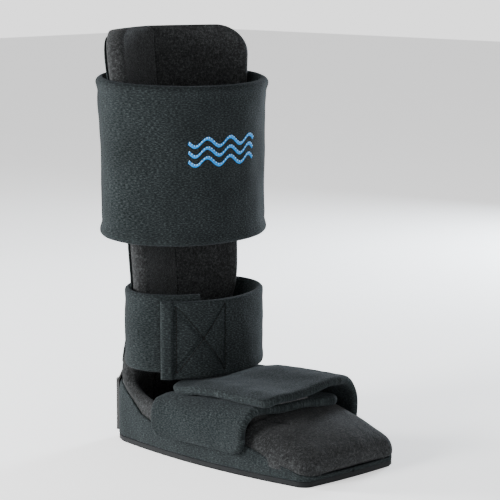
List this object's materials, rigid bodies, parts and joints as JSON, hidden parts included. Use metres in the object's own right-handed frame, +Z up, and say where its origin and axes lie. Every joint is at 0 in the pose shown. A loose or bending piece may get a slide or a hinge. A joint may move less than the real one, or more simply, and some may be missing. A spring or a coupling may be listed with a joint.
{
  "type": "ankle foot orthosis",
  "caption": "Night splint that holds the ankle at a right angle: padded leg trough, calf wrap, ankle strap, foot flaps and toe cover on a bent plastic frame.",
  "frame": {"origin": "on the outsole's flat bottom face, under the middle of the leg", "axes": "toes to -Y, the wearer's left to +X, +Z up along the leg"},
  "size_m": [0.191, 0.2845, 0.405],
  "materials": {
    "frame_plastic": "gloss black moulded plastic",
    "fleece": "fuzzy charcoal fleece",
    "loop_fabric": "brushed charcoal loop fabric over foam",
    "sole_rubber": "matte black rubber sheet",
    "hook_tape": "black hook tape",
    "blue_thread": "blue and pale embroidery thread",
    "black_thread": "black sewing thread"
  },
  "bodies": {
    "root": {"l_frame": "frame_plastic", "liner_leg_far": "fleece", "liner_leg_near": "fleece", "leg_cover": "loop_fabric", "outsole": "sole_rubber", "foot_cover": "loop_fabric", "heel_pad": "fleece", "foot_wall_far": "fleece", "foot_wall_near": "fleece", "insole_pad": "fleece", "toe_cover": "fleece", "near_flap_tab": "loop_fabric", "far_flap_tab": "loop_fabric", "wall_hook_patch_far": "hook_tape", "wall_hook_patch_near": "hook_tape", "calf_wrap_back": "loop_fabric", "ankle_strap_back": "loop_fabric"},
    "near_flap": {"foot_flap_near": "loop_fabric"},
    "far_flap": {"foot_flap_far": "loop_fabric", "flap_hook_patch": "hook_tape"},
    "calf_flap": {"calf_wrap_front": "loop_fabric", "calf_hook_patch": "hook_tape", "calf_wrap_tab": "loop_fabric", "calf_emblem": "blue_thread"},
    "ankle_flap": {"ankle_strap": "loop_fabric", "ankle_tab_fold": "loop_fabric", "ankle_hook_patch": "hook_tape", "ankle_stitching": "black_thread"}
  },
  "joints": [
    {"name": "calf_wrap_open", "type": "hinge", "parent": "root", "child": "calf_flap", "pos_m": [-0.0879, 0.004, 0.276], "axis": [0, 0, -1], "range_deg": [0, 110]},
    {"name": "ankle_strap_open", "type": "hinge", "parent": "root", "child": "ankle_flap", "pos_m": [0.0796, 0.007, 0.116], "axis": [0, 0, 1], "range_deg": [0, 155]},
    {"name": "far_flap_open", "type": "hinge", "parent": "root", "child": "far_flap", "pos_m": [0.078, -0.1, 0.052], "axis": [0, 1, 0], "range_deg": [0, 125]},
    {"name": "near_flap_open", "type": "hinge", "parent": "root", "child": "near_flap", "pos_m": [-0.078, -0.066, 0.052], "axis": [0, -1, 0], "range_deg": [0, 54]}
  ],
  "couplings": [
    {"joint": "near_flap_open", "follows": "far_flap_open", "ratio": 0.42}
  ]
}
